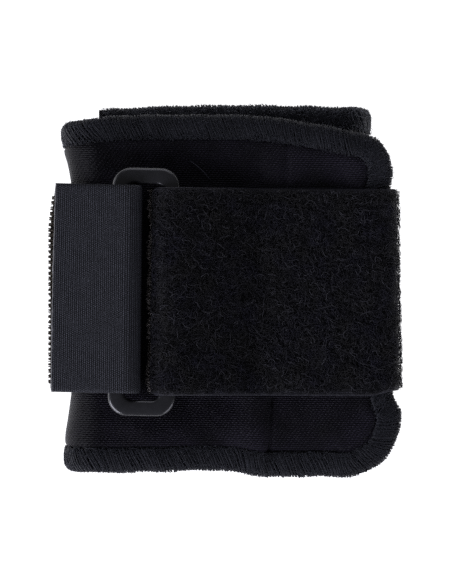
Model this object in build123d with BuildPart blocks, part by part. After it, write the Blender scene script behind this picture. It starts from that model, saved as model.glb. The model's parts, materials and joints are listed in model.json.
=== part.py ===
"""Wrist support: a rolled neoprene band, closed by a hook-and-loop strap that runs through a ring.

It lies flat on its back, folded as it is stored. X runs across the folded band, Y runs along
the forearm, and +Z points up from the surface it lies on. The origin is in the middle of the
band, on that surface. All sizes are millimetres.
"""

import os
from math import cos, radians, sin

from build123d import *

# ---------------------------------------------------------------- driving dimensions
# Laminated band: lining knit, foam core and outer knit, one on the other.
knit_thickness = 0.4
foam_thickness = 2.7
band_thickness = foam_thickness + 2 * knit_thickness

# How the band is rolled up, seen from the end. The front panel is on top.
front_panel_bottom = 15.3
back_panel_top = 5.5
inner_flap_bottom = 11.5
left_fold_x = -30.0
right_fold_x = 28.3
inner_flap_end_x = -30.4
roll_clearance = 0.15

# Overlock stitching that wraps every cut edge of the band.
overlock_width = 5.5
overlock_wrap = 0.5

# Hook-and-loop strap.
strap_width = 49.5
pile_thickness = 1.8
pile_centre_y = -0.4
hook_thickness = 1.4
strap_lean = -1.25
pile_bed_height = 19.9
pile_back_end_x = -9.5
pile_return_end_x = 2.4
hook_back_start_x = -11.5
hook_back_height = 1.1
hook_lower_height = 19.7
hook_lower_end_x = -25.6
tab_end_x = -41.2

# Rectangular ring, and the bars that the two tapes pass round.
ring_length = 59.1
ring_width = 16.0
slot_length = 51.4
slot_width = 8.4
ring_thickness = 3.0
ring_corner_radius = 4.5
slot_corner_radius = 1.5
ring_edge_radius = 1.2
ring_centre_x = -19.5
ring_centre_y = -0.6
ring_height = 23.2
bar_offset = (slot_width + (ring_width - slot_width) / 2) / 2
pile_loop_radius = 3.3
hook_bend_radius = 3.6
hook_bend_x = -24.1
hook_bend_height = hook_lower_height + hook_bend_radius

# Sewing thread, let into the surface that it holds down.
stitch_length = 2.4
stitch_pitch = 3.4
thread_width = 0.6
thread_depth = 0.3

# Outlines seen from above. The left ends run on past the left fold, which has no cut edge.
FAR_LEFT = -50.0
FAR_RIGHT = 46.0
left_top = (FAR_LEFT, 37.0)
left_bottom = (FAR_LEFT, -42.9)
fold_top = (-29.9, 41.1)
fold_bottom = (-29.9, -42.3)
front_outline = [
    left_top, fold_top, (-2.6, 41.7), (9.1, 41.4), (20.8, 39.8), (33.0, 37.4),
    (36.7, 35.7), (38.9, 32.2), (39.7, 28.6), (38.3, 24.2), (38.3, -26.2),
    (40.6, -27.6), (41.4, -30.2), (41.4, -44.3), (9.1, -44.1), (-2.6, -42.2),
    fold_bottom, left_bottom,
]
flap_outline = [
    left_top, fold_top, (-29.3, 43.5), (-13.0, 44.0), (1.0, 44.0),
    (right_fold_x, 43.3), (FAR_RIGHT, 39.5), (FAR_RIGHT, -38.0),
    (right_fold_x, -41.0), fold_bottom, left_bottom,
]
back_outline = [
    left_top, fold_top, (right_fold_x, 43.3), (FAR_RIGHT, 39.5), (FAR_RIGHT, -38.0),
    (right_fold_x, -41.0), fold_bottom, left_bottom,
]
round_corner_x = 41.0
round_corner_radius = 12.0

# Directions of the strap, which leans a little clockwise across the band.
along_strap = (cos(radians(strap_lean)), sin(radians(strap_lean)), 0)
across_strap = (-sin(radians(strap_lean)), cos(radians(strap_lean)), 0)


# ---------------------------------------------------------------- shared shapes
def on_strap(along, across):
    """Place in the XY plane of a point given along and across the strap."""
    return (
        along * along_strap[0] + across * across_strap[0],
        along * along_strap[1] + across * across_strap[1],
    )


def strap_section(middle=0.0):
    """Plane of the strap's end view, at a place across the strap."""
    return Plane(
        origin=(*on_strap(0, middle), 0),
        x_dir=along_strap,
        z_dir=(-across_strap[0], -across_strap[1], 0),
    )


def roll_section(low, high, inset):
    """End view of one layer of the rolled band, between two depths above its lining side."""
    left_height = (front_panel_bottom + back_panel_top) / 2
    left_radius = (front_panel_bottom - back_panel_top) / 2
    right_height = (inner_flap_bottom + back_panel_top) / 2
    right_radius = (inner_flap_bottom - back_panel_top) / 2
    flap_end = inner_flap_end_x + inset
    front_ends = []
    flap_ends = []
    with BuildSketch(Plane.XZ) as section:
        with BuildLine():
            for depth in (low, high):
                front = front_panel_bottom + depth
                back = back_panel_top - depth
                flap = inner_flap_bottom + depth
                Line((FAR_RIGHT, front), (left_fold_x, front))
                ThreePointArc(
                    (left_fold_x, front),
                    (left_fold_x - left_radius - depth, left_height),
                    (left_fold_x, back),
                )
                Line((left_fold_x, back), (right_fold_x, back))
                ThreePointArc(
                    (right_fold_x, back),
                    (right_fold_x + right_radius + depth, right_height),
                    (right_fold_x, flap),
                )
                Line((right_fold_x, flap), (flap_end, flap))
                front_ends.append((FAR_RIGHT, front))
                flap_ends.append((flap_end, flap))
            Line(*front_ends)
            Line(*flap_ends)
        make_face()
    return section.sketch


def cut_area(inset):
    """Everything within the cut edges of the band, less an inset, at each height of the roll."""
    front_limit = front_panel_bottom - roll_clearance
    flap_limit = inner_flap_bottom - roll_clearance
    top_limit = front_panel_bottom + band_thickness + 1
    with BuildPart() as area:
        for outline, bottom, top in (
            (back_outline, 0, flap_limit),
            (flap_outline, flap_limit, front_limit),
            (front_outline, front_limit, top_limit),
        ):
            with BuildSketch(Plane.XY.offset(bottom)) as cut:
                with BuildLine():
                    Polyline(*outline, close=True)
                make_face()
                if outline is front_outline:
                    corners = cut.vertices().filter_by_position(
                        Axis.X, round_corner_x, FAR_RIGHT
                    )
                    fillet(corners.sort_by(Axis.Y)[0], radius=round_corner_radius)
                if inset:
                    offset(amount=-inset, kind=Kind.INTERSECTION)
            extrude(amount=top - bottom)
    return area.part


def band_layer(low, high, inset):
    """One layer of the rolled band as a solid."""
    with BuildPart() as layer:
        extrude(roll_section(low, high, inset), amount=FAR_RIGHT, both=True)
        add(cut_area(inset), mode=Mode.INTERSECT)
    return layer.part


def strap_strip(points, corner_radii, thickness, middle=0.0):
    """A tape of the strap's width that follows a line in the strap's end view."""
    with BuildPart() as strip:
        with BuildSketch(strap_section(middle)):
            with BuildLine():
                FilletPolyline(*points, radius=corner_radii)
            trace(line_width=thickness)
        extrude(amount=strap_width / 2, both=True)
    return strip.part


def hook_arc(start_angle, arc_size):
    """Part of the hook tape's bend over the ring's left bar."""
    with BuildPart() as bend:
        with BuildSketch(strap_section()):
            with BuildLine():
                CenterArc(
                    (hook_bend_x, hook_bend_height),
                    hook_bend_radius,
                    start_angle,
                    arc_size,
                )
            trace(line_width=hook_thickness)
        extrude(amount=strap_width / 2, both=True)
    return bend.part


def stitch_row(start, end, bottom):
    """A straight row of sunk stitches between two points, seen from above."""
    count = int((Vector(*end) - Vector(*start)).length / stitch_pitch)
    with BuildLine(mode=Mode.PRIVATE):
        seam = Line(start, end)
    with BuildPart() as row:
        with BuildSketch(Plane.XY.offset(bottom)):
            for location in seam.locations([(i + 0.5) / count for i in range(count)]):
                angle = seam.tangent_angle_at(0)
                with Locations(Location(location.position, (0, 0, angle))):
                    SlotOverall(stitch_length, thread_width)
        extrude(amount=thread_depth)
    return row.part


def strap_rows(positions, bottom, reach=21.0):
    """Rows of stitches straight across the strap."""
    with BuildPart() as rows:
        for along in positions:
            add(stitch_row(on_strap(along, -reach), on_strap(along, reach), bottom))
    return rows.part


# ---------------------------------------------------------------- the sewing threads
panel_top = front_panel_bottom + band_thickness
panel_seam_top = [(14.9, 33.6), (14.2, 26.0)]
panel_seam_bottom = [(11.2, -26.5), (10.4, -37.4)]
panel_seam_foot = [(12.0, -38.2), (27.5, -37.6)]

with BuildPart() as panel_seam_thread:
    for start, end in (panel_seam_top, panel_seam_bottom, panel_seam_foot):
        add(stitch_row(start, end, panel_top - thread_depth))
panel_seam_thread.part.label = "panel_seam_thread"

with BuildPart() as ring_loop_stitching:
    add(strap_rows([-1.4, 1.0], pile_bed_height - pile_thickness / 2))
ring_loop_stitching.part.label = "ring_loop_stitching"

with BuildPart() as pile_anchor_stitching:
    add(strap_rows([pile_back_end_x + 2.0, 14.0], 0))
pile_anchor_stitching.part.label = "pile_anchor_stitching"

with BuildPart() as hook_anchor_stitching:
    hook_back_bottom = hook_back_height - hook_thickness / 2
    add(strap_rows([hook_back_start_x - 2.0, hook_back_start_x - 8.0], hook_back_bottom))
hook_anchor_stitching.part.label = "hook_anchor_stitching"

# ---------------------------------------------------------------- the laminated band
with BuildPart() as neoprene_core:
    add(band_layer(knit_thickness, band_thickness - knit_thickness, overlock_wrap))
neoprene_core.part.label = "neoprene_core"

with BuildPart() as outer_knit_face:
    add(band_layer(band_thickness - knit_thickness, band_thickness, overlock_width))
    add(panel_seam_thread.part, mode=Mode.SUBTRACT)
outer_knit_face.part.label = "outer_knit_face"

with BuildPart() as lining_knit:
    add(band_layer(0, knit_thickness, overlock_width))
lining_knit.part.label = "lining_knit"

# ---------------------------------------------------------------- the overlock seams
with BuildPart() as all_overlock:
    add(band_layer(0, band_thickness, 0))
    add(band_layer(knit_thickness, band_thickness - knit_thickness, overlock_wrap),
        mode=Mode.SUBTRACT)
    add(band_layer(band_thickness - knit_thickness, band_thickness, overlock_width),
        mode=Mode.SUBTRACT)
    add(band_layer(0, knit_thickness, overlock_width), mode=Mode.SUBTRACT)

inner_end_reach = 10.0
inner_end_box = Pos(inner_flap_end_x - 1, 0, inner_flap_bottom + band_thickness / 2) * Box(
    inner_end_reach,
    71.0,
    band_thickness + roll_clearance,
    align=(Align.MIN, Align.CENTER, Align.CENTER),
)

with BuildPart() as overlock_inner_end:
    add(all_overlock.part)
    add(inner_end_box, mode=Mode.INTERSECT)
overlock_inner_end.part.label = "overlock_inner_end"

with BuildPart() as overlock_edge:
    add(all_overlock.part)
    add(inner_end_box, mode=Mode.SUBTRACT)
overlock_edge.part.label = "overlock_edge"

# ---------------------------------------------------------------- the plastic ring
ring_plane = Plane(
    origin=(*on_strap(ring_centre_x, ring_centre_y), ring_height),
    x_dir=along_strap,
    z_dir=(0, 0, 1),
)

with BuildPart() as strap_ring:
    with BuildSketch(ring_plane):
        RectangleRounded(ring_width, ring_length, ring_corner_radius)
        RectangleRounded(slot_width, slot_length, slot_corner_radius, mode=Mode.SUBTRACT)
    extrude(amount=ring_thickness / 2, both=True)
    faces_up_and_down = strap_ring.faces().filter_by(Axis.Z)
    fillet(faces_up_and_down.edges(), radius=ring_edge_radius)
strap_ring.part.label = "strap_ring"

# ---------------------------------------------------------------- the pile tape
right_bar_x = ring_centre_x + bar_offset
loop_left_x = right_bar_x - pile_loop_radius
loop_top = ring_height + pile_loop_radius
pile_back_height = pile_thickness / 2
pile_route = [
    (pile_return_end_x, pile_bed_height),
    (loop_left_x, pile_bed_height),
    (loop_left_x, loop_top),
    (right_bar_x + 1.9, loop_top),
    (3.0, 21.75),
    (6.5, pile_bed_height),
    (41.3, pile_bed_height),
    (39.1, pile_back_height),
    (pile_back_end_x, pile_back_height),
]
pile_corner_radii = [3.25, 3.25, 8.0, 4.0, 6.0, 2.4, 4.0]

with BuildPart() as pile_strap:
    add(strap_strip(pile_route, pile_corner_radii, pile_thickness, pile_centre_y))
    add(ring_loop_stitching.part, mode=Mode.SUBTRACT)
    add(pile_anchor_stitching.part, mode=Mode.SUBTRACT)
pile_strap.part.label = "pile_strap"

# ---------------------------------------------------------------- the hook tape
hook_left_x = -41.4
hook_route = [
    (hook_back_start_x, hook_back_height),
    (hook_left_x, hook_back_height),
    (hook_left_x, hook_lower_height),
    (hook_lower_end_x, hook_lower_height),
]
hook_corner_radius = (hook_lower_height - hook_back_height) / 2 - 0.05

with BuildPart() as hook_strap:
    add(strap_strip(hook_route, [hook_corner_radius] * 2, hook_thickness))
    add(hook_anchor_stitching.part, mode=Mode.SUBTRACT)
hook_strap.part.label = "hook_strap"

with BuildPart() as hook_strap_bend:
    add(hook_arc(-90, 73))
hook_strap_bend.part.label = "hook_strap_bend"

tab_height = hook_bend_height + hook_bend_radius
with BuildPart() as hook_tab:
    add(hook_arc(8, 82))
    add(strap_strip([(hook_bend_x, tab_height), (-32.0, tab_height - 0.02),
                     (tab_end_x, tab_height)], [30.0], hook_thickness))
hook_tab.part.label = "hook_tab"

# ---------------------------------------------------------------- write every piece
os.makedirs("parts", exist_ok=True)
for piece in (
    neoprene_core,
    outer_knit_face,
    lining_knit,
    overlock_edge,
    overlock_inner_end,
    panel_seam_thread,
    pile_strap,
    ring_loop_stitching,
    pile_anchor_stitching,
    hook_strap,
    hook_anchor_stitching,
    strap_ring,
    hook_strap_bend,
    hook_tab,
):
    export_step(piece.part, f"parts/{piece.part.label}.step")
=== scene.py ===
"""The looks of the rolled wrist support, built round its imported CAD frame.

Shapes are worked out in millimetres and written in metres. Every point of the band is given along
the band, across it and above its lining, and then rolled up by one function, so that the knit, the
seams and the loose fibres all follow the same folds. Every point of the two tapes is given along
its route, across the strap and above the route, in the same way.
"""

import json
from math import atan2, cos, pi, radians, sin, tan

import bpy
import numpy as np
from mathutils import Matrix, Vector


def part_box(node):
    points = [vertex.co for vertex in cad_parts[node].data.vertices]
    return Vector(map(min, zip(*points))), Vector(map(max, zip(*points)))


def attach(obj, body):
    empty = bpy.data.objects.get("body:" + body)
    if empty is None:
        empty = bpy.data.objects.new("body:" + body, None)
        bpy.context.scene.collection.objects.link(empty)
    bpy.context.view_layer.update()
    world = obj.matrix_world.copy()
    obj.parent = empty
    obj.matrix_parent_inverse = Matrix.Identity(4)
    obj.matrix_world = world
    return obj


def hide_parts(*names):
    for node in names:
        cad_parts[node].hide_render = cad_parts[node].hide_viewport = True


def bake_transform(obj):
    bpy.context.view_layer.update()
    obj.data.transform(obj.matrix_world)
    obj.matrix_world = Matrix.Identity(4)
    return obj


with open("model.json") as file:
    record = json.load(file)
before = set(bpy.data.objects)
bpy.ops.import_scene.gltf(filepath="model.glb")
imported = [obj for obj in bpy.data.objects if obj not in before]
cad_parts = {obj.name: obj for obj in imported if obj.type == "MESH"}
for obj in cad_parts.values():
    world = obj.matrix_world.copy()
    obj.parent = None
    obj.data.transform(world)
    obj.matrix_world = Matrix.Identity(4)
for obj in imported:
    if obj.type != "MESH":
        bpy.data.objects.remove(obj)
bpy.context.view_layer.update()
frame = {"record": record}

MM = 0.001


# ------------------------------------------------------------------ places taken from the frame
def corners_mm(node):
    """Lowest and highest corner of a CAD node, in millimetres."""
    return [np.array(corner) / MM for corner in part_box(node)]


joints = {joint["name"]: joint for joint in frame["record"]["behaviour"]["joints"]}
across_strap = np.array(joints["ring_tilt"]["axis"], float)
along_strap = np.array([across_strap[1], -across_strap[0], 0.0])
UP = np.array([0.0, 0.0, 1.0])
ring_pivot = np.array(joints["ring_tilt"]["pos_m"]) / MM
tab_pivot = np.array(joints["tab_peel"]["pos_m"]) / MM

band_low, band_high = corners_mm("outer_knit_face")
flap_low = corners_mm("overlock_inner_end")[0]

# The laminated band and how it is rolled.
BAND = 3.5
KNIT = 0.4
BACK_BOTTOM = band_low[2]
FRONT_TOP = band_high[2]
FLAP_BOTTOM = flap_low[2]
FLAP_END_X = flap_low[0]
LEFT_FOLD_X = -30.0
RIGHT_FOLD_X = 28.3
FRONT_END_X = 40.0
MIDDLE = BAND / 2
# The overlock: its width, how far it is let into the outside, and the pitch of its strands.
OVERLOCK = 5.5
SUNK = 0.45
INNER_SUNK = 0.45
STRAND_PITCH = 0.68
# Spacing of the points along a cut edge.
EDGE_STEP = 0.25

# The two tapes.
STRAP = 49.5
PILE = 1.8
HOOK = 1.4
PILE_MIDDLE = -0.4
SELVAGE = 1.15


# ------------------------------------------------------------------ small geometry tools
def unit(vectors):
    """Vectors of length one."""
    size = np.linalg.norm(vectors, axis=-1, keepdims=True)
    return vectors / np.maximum(size, 1e-9)


def ease(low, high, value):
    """0 below low, 1 above high, and a smooth step between."""
    share = np.clip((np.asarray(value, float) - low) / (high - low), 0, 1)
    return share * share * (3 - 2 * share)


def wave(a, b, length, seed):
    """Smooth uneven height, about -1 to 1, whose bumps are about the given length apart."""
    draw = np.random.default_rng(seed)
    total = 0
    for _ in range(6):
        angle, phase, stretch = draw.uniform([0, 0, 0.7], [2 * pi, 2 * pi, 1.5])
        turn = 2 * pi / (length * stretch)
        total = total + np.sin(turn * (np.cos(angle) * a + np.sin(angle) * b) + phase)
    return total / 3


def put(name, data):
    """A new object in the scene."""
    thing = bpy.data.objects.new(name, data)
    bpy.context.scene.collection.objects.link(thing)
    return thing


def add_mesh(name, points, quads, material, uv=None):
    """A smooth closed mesh from points in millimetres and four-cornered faces."""
    points = np.asarray(points, float).reshape(-1, 3)
    quads = np.asarray(quads, np.int64).reshape(-1, 4)
    a, b, c, d = (points[quads[:, k]] for k in range(4))
    volume = np.einsum("ij,ij->", a, np.cross(b, c) + np.cross(c, d))
    if volume < 0:
        quads = quads[:, ::-1]
    mesh = bpy.data.meshes.new(name)
    mesh.vertices.add(len(points))
    mesh.vertices.foreach_set("co", (points * MM).astype(np.float32).ravel())
    mesh.loops.add(quads.size)
    mesh.loops.foreach_set("vertex_index", quads.astype(np.int32).ravel())
    mesh.polygons.add(len(quads))
    mesh.polygons.foreach_set("loop_start", np.arange(0, quads.size, 4, dtype=np.int32))
    mesh.update(calc_edges=True)
    mesh.polygons.foreach_set("use_smooth", np.ones(len(quads), bool))
    if uv is not None:
        layer = mesh.uv_layers.new(name="weave")
        flat = np.asarray(uv, np.float32).reshape(-1, 2)
        layer.data.foreach_set("uv", flat[quads.ravel()].ravel())
    mesh.materials.append(material)
    return put(name, mesh)


def grid_faces(rows, columns, start=0):
    """Faces between the neighbours of a grid of points."""
    index = start + np.arange(rows * columns).reshape(rows, columns)
    corners = [index[:-1, :-1], index[1:, :-1], index[1:, 1:], index[:-1, 1:]]
    return np.stack(corners, -1).reshape(-1, 4)


def shell(outer, inner, uv):
    """A closed skin between two grids of points, and the weave coordinates of all its points."""
    rows, columns = outer.shape[:2]
    count = rows * columns
    index = np.arange(count).reshape(rows, columns)
    loop = np.concatenate(
        [index[0, :-1], index[:-1, -1], index[-1, :0:-1], index[:0:-1, 0]]
    )
    after = np.roll(loop, -1)
    rim = np.stack([loop, after, after + count, loop + count], -1)
    faces = np.concatenate(
        [grid_faces(rows, columns), grid_faces(rows, columns, count)[:, ::-1], rim]
    )
    points = np.concatenate([outer.reshape(-1, 3), inner.reshape(-1, 3)])
    flat = uv.reshape(-1, 2)
    return points, faces, np.concatenate([flat, flat])


CAPS = {4: [[0, 1, 2, 3]], 6: [[0, 1, 2, 5], [2, 3, 4, 5]]}


def tubes(paths, radius, sides=4):
    """Points and faces of many threads at once, each along its own row of points."""
    paths = np.asarray(paths, float)
    count, steps = paths.shape[:2]
    radius = np.broadcast_to(np.asarray(radius, float), (count, steps))
    heading = unit(np.gradient(paths, axis=1))
    steep = np.abs(heading[:, 0, 2:3]) > 0.8
    side = unit(np.cross(heading[:, 0], np.where(steep, [[1.0, 0, 0]], [[0, 0, 1.0]])))
    sideways = np.empty_like(paths)
    for step in range(steps):
        toward = heading[:, step]
        side = unit(side - toward * np.sum(side * toward, -1, keepdims=True))
        sideways[:, step] = side
    upward = np.cross(heading, sideways)
    turn = 2 * pi * np.arange(sides) / sides
    ring = (
        np.cos(turn)[:, None] * sideways[:, :, None] + np.sin(turn)[:, None] * upward[:, :, None]
    )
    points = paths[:, :, None] + radius[:, :, None, None] * ring
    index = np.arange(count * steps * sides).reshape(count, steps, sides)
    near = index[:, :-1]
    far = index[:, 1:]
    walls = np.stack([near, np.roll(near, -1, 2), np.roll(far, -1, 2), far], -1)
    caps = np.array(CAPS[sides])
    ends = [index[:, 0][:, caps[:, ::-1]], index[:, -1][:, caps]]
    faces = np.concatenate([walls.reshape(-1, 4)] + [end.reshape(-1, 4) for end in ends])
    return points.reshape(-1, 3), faces


def threads(name, paths, radius, material, sides=4, floor=-1.0):
    """A mesh of many threads, none of them lower than a floor."""
    paths[..., 2] = np.maximum(paths[..., 2], floor)
    points, faces = tubes(paths, radius, sides)
    return add_mesh(name, points, faces, material)


def loose_fibres(name, root, aim, curl, length, bow, radius, material, floor):
    """Short tapering fibres that start straight and bend to one side."""
    t = np.linspace(0, 1, len(radius))[None, :, None]
    bend = t * aim[:, None] + bow * t * t * curl[:, None]
    paths = root[:, None] + length[:, None, None] * bend
    return threads(name, paths, np.array(radius), material, floor=floor)


def evenly(points, step):
    """Points set evenly along a line through the given ones."""
    points = np.asarray(points, float)
    travel = np.concatenate([[0], np.cumsum(np.linalg.norm(np.diff(points, axis=0), axis=1))])
    count = max(2, int(round(travel[-1] / step)) + 1)
    wanted = np.linspace(0, travel[-1], count)
    return np.stack([np.interp(wanted, travel, points[:, k]) for k in range(2)], -1)


def rounded_route(corners, radii, step):
    """A line through corners that are each rounded to a radius."""
    corners = np.asarray(corners, float)
    points = [corners[0]]
    for before, corner, after, radius in zip(corners, corners[1:], corners[2:], radii):
        back = unit(before - corner)
        on = unit(after - corner)
        half = np.arccos(np.clip(back @ on, -1, 1)) / 2
        centre = corner + unit(back + on) * radius / sin(half)
        start = corner + back * radius / tan(half) - centre
        stop = corner + on * radius / tan(half) - centre
        first = atan2(start[1], start[0])
        turn = (atan2(stop[1], stop[0]) - first + pi) % (2 * pi) - pi
        angles = first + turn * np.linspace(0, 1, 24)
        points.extend(centre + radius * np.stack([np.cos(angles), np.sin(angles)], -1))
    points.append(corners[-1])
    return evenly(points, step)


# ------------------------------------------------------------------ materials
def set_inputs(node, values):
    """Sets a node's inputs, by name or by number, to sockets or to constants."""
    for key, value in values.items():
        socket = node.inputs[key]
        if isinstance(value, bpy.types.NodeSocket):
            node.id_data.links.new(value, socket)
        else:
            socket.default_value = value


def make(tree, kind, inputs=None, **settings):
    """A shader node with its settings and inputs."""
    node = tree.nodes.new(kind)
    for key, value in settings.items():
        setattr(node, key, value)
    set_inputs(node, inputs or {})
    return node


def calc(tree, operation, *values):
    """The output of a Math node."""
    inputs = dict(enumerate(values))
    return make(tree, "ShaderNodeMath", inputs, operation=operation).outputs[0]


def fibre_noise(tree, place, size, detail=3.0):
    """Noise with spots of a given size in millimetres."""
    inputs = {"Vector": place, "Scale": 1 / size, "Detail": detail}
    return make(tree, "ShaderNodeTexNoise", inputs).outputs["Fac"]


def vector(tree, operation, *values, **named):
    """The output of a Vector Math node."""
    inputs = dict(enumerate(values)) | named
    node = make(tree, "ShaderNodeVectorMath", inputs, operation=operation)
    return node.outputs["Value" if operation == "LENGTH" else 0]


def uneven(tree, place, size, gain, base, detail=3.0):
    """Noise with spots of a given size, stretched by a gain from a base."""
    return calc(tree, "MULTIPLY_ADD", fibre_noise(tree, place, size, detail), gain, base)


def weave(tree):
    """Weave coordinates in millimetres."""
    return make(tree, "ShaderNodeUVMap", uv_map="weave").outputs[0]


def shaken(tree, place, wobble, size):
    """A place moved about a little, so that no row is dead straight."""
    inputs = {"Vector": place, "Scale": 1 / size, "Detail": 2.0}
    shake = make(tree, "ShaderNodeTexNoise", inputs).outputs["Color"]
    centred = vector(tree, "SUBTRACT", shake, (0.5, 0.5, 0.5))
    return vector(tree, "ADD", place, vector(tree, "SCALE", centred, Scale=wobble))


def stitch_rows(tree, place, pitch_along, pitch_across, axis=0, shift=0.5):
    """Height, 0 to 1, of rows of small raised stitches, each row moved on by a share of a stitch."""
    parts = make(tree, "ShaderNodeSeparateXYZ", {0: place}).outputs
    along = calc(tree, "DIVIDE", parts[axis], pitch_along)
    across = calc(tree, "DIVIDE", parts[1 - axis], pitch_across)
    row = calc(tree, "FLOOR", across)
    along = calc(tree, "MULTIPLY_ADD", row, shift, along)
    lump = calc(tree, "COSINE", calc(tree, "MULTIPLY", along, 2 * pi))
    ridge = calc(tree, "COSINE", calc(tree, "MULTIPLY", across, 2 * pi))
    lump = calc(tree, "MULTIPLY_ADD", lump, 0.35, 0.65)
    ridge = calc(tree, "MULTIPLY_ADD", ridge, -0.5, 0.5)
    return calc(tree, "MULTIPLY", lump, ridge)


def blend_colours(tree, share, dark, light):
    """A colour between two, by a share. Each is a constant or a socket."""
    node = make(tree, "ShaderNodeMix", data_type="RGBA")
    ends = [end if isinstance(end, bpy.types.NodeSocket) else (*end, 1) for end in (dark, light)]
    set_inputs(node, {0: share, 6: ends[0], 7: ends[1]})
    return node.outputs[2]


def finish_material(name, colour, height, depth_mm, roughness, specular, sheen=0.0, coat=0.0):
    """Sets up the shader of a material. colour and height are functions of its node tree."""
    material = bpy.data.materials.new(name)
    material.use_nodes = True
    tree = material.node_tree
    made_height = height(tree)
    bump = make(tree, "ShaderNodeBump", {
        "Strength": 1.0, "Distance": depth_mm * MM, "Height": made_height,
    })
    set_inputs(tree.nodes["Principled BSDF"], {
        "Base Color": colour(tree, made_height),
        "Roughness": roughness,
        "Specular IOR Level": specular,
        "Sheen Weight": sheen,
        "Sheen Roughness": 0.5,
        "Coat Weight": coat,
        "Coat Roughness": 0.25,
        "Normal": bump.outputs[0],
    })
    return material


def object_place(tree):
    """Place in the object, in millimetres."""
    place = make(tree, "ShaderNodeTexCoord").outputs["Object"]
    return vector(tree, "SCALE", place, Scale=1 / MM)


# Patches of painted highlight (positive gain) and painted shade (negative gain) on the knit: along the
# band, across it, reach each way, and gain.
KNIT_LIGHT_AND_SHADE = [
    (12.0, 29.5, 8.0, 5.5, 0.75), (34.0, -37.0, 8.0, 7.0, 0.80), (7.0, -32.5, 8.0, 5.5, 0.80),
    (54.0, -37.0, 9.0, 5.0, 0.45), (73.0, 33.0, 12.0, 13.0, -0.55), (73.0, -33.0, 9.0, 13.0, -0.25),
]


def patch_gain(tree, place, patch):
    """How much one soft oval patch of painted highlight or painted shade adds to the brightness of the
    knit.
    """
    along, across, reach_along, reach_across, gain = patch
    shifted = vector(tree, "SUBTRACT", place, (along, across, 0))
    sized = vector(tree, "MULTIPLY", shifted, (1 / reach_along, 1 / reach_across, 0))
    far = vector(tree, "LENGTH", sized)
    near = make(tree, "ShaderNodeMapRange", {0: far, 1: 1.0, 2: 0.25}, interpolation_type="SMOOTHSTEP")
    return calc(tree, "MULTIPLY", near.outputs[0], gain)


def knit_patches(*marks):
    """Brightness of a knit: a broad unevenness, and its patches of painted highlight and painted
    shade.
    """
    def patches(tree, place):
        total = uneven(tree, place, 7.0, 2.6, -0.5, 2.0)
        for mark in marks:
            total = calc(tree, "ADD", total, patch_gain(tree, place, mark))
        return calc(tree, "MAXIMUM", total, 0.22)

    return patches


def tape_patches(tree, place):
    """Brightness of plain woven tape."""
    return uneven(tree, place, 3.0, 0.8, 0.6)


def selvage_patches(tree, place):
    """Brightness of the pile tape's ground: painted shade under the loops, with a paler selvage each
    side beyond them.
    """
    across = make(tree, "ShaderNodeSeparateXYZ", {0: place}).outputs[1]
    beyond = calc(tree, "GREATER_THAN", calc(tree, "ABSOLUTE", across), STRAP / 2 - SELVAGE)
    # The ground under the loops is kept at about a quarter brightness: painted shade.
    return calc(tree, "MULTIPLY_ADD", beyond, 0.75, 0.27)


def cloth_material(name, dark, light, pitch, wobble, fluff, patches, depth, specular,
                   roughness=0.6, sheen=0.0, axis=0, shift=0.5):
    """Knitted or woven cloth: rows of small fluffy stitches, their tops painted lighter and the
    hollows darker (painted highlight and painted shade), and lighter and darker in patches.
    """
    def height(tree):
        place = weave(tree)
        rows = stitch_rows(tree, shaken(tree, place, *wobble), *pitch, axis, shift)
        return calc(tree, "MULTIPLY", rows, uneven(tree, place, *fluff))

    def colour(tree, made_height):
        # Colour follows stitch height: painted highlight on the stitch tops, painted shade in the
        # hollows.
        share = calc(tree, "MULTIPLY", made_height, patches(tree, weave(tree)))
        return blend_colours(tree, share, dark, light)

    return finish_material(name, colour, height, depth, roughness, specular, sheen)


def knit_material(name, dark, light, pitch, specular, marks=()):
    """Fine jersey, with its marks: patches of painted highlight and painted shade."""
    return cloth_material(name, dark, light, pitch, (0.5, 1.6), (0.35, 2.2, -0.2),
                          knit_patches(*marks), 0.16, specular, 0.5, 0.01, shift=0.37)


def woven_material(name, dark, light, pitch, depth, specular):
    """Flat woven tape: fine ribs across the tape with a dot where each thread crosses."""
    return cloth_material(name, dark, light, pitch, (0.12, 1.2), (0.3, 3.0, -0.45),
                          tape_patches, depth, specular, axis=1)


def fibre_material(name, dark, light, size=0.25, specular=0.25, roughness=0.55, sheen=0.08):
    """Spun thread or fibre: its colour and surface vary over fractions of a millimetre."""
    def height(tree):
        return fibre_noise(tree, object_place(tree), size)

    def colour(tree, made_height):
        broad = uneven(tree, object_place(tree), size * 14, 1.6, 0.1, 2.0)
        return blend_colours(tree, calc(tree, "MULTIPLY", made_height, broad), dark, light)

    return finish_material(name, colour, height, 0.05, roughness, specular, sheen)


def loop_fibre_material(name, dark, warm, cool):
    """Brushed loops: blotches a few millimetres wide, some of them warmer and some cooler."""
    def height(tree):
        return fibre_noise(tree, object_place(tree), 0.45)

    def colour(tree, made_height):
        place = object_place(tree)
        blotch = calc(tree, "MAXIMUM", uneven(tree, place, 2.6, 3.4, -1.0, 2.0), 0.15)
        tint = make(tree, "ShaderNodeClamp", {0: uneven(tree, place, 6.5, 4.0, -1.5, 1.0)})
        bright = blend_colours(tree, tint.outputs[0], warm, cool)
        return blend_colours(tree, calc(tree, "MULTIPLY", made_height, blotch), dark, bright)

    return finish_material(name, colour, height, 0.05, 0.6, 0.2, sheen=0.06)


def moulded_material(name, dark, light):
    """Semi-gloss moulded plastic with a fine tool texture and faint handling marks."""
    def height(tree):
        place = object_place(tree)
        swell = fibre_noise(tree, place, 2.5, 1.0)
        return calc(tree, "MULTIPLY_ADD", swell, 0.6, fibre_noise(tree, place, 0.12, 2.0))

    def colour(tree, made_height):
        return blend_colours(tree, fibre_noise(tree, object_place(tree), 1.5), dark, light)

    return finish_material(name, colour, height, 0.008, 0.24, 0.55, coat=0.5)


# The outer knit carries the patches of painted highlight and painted shade.
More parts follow.
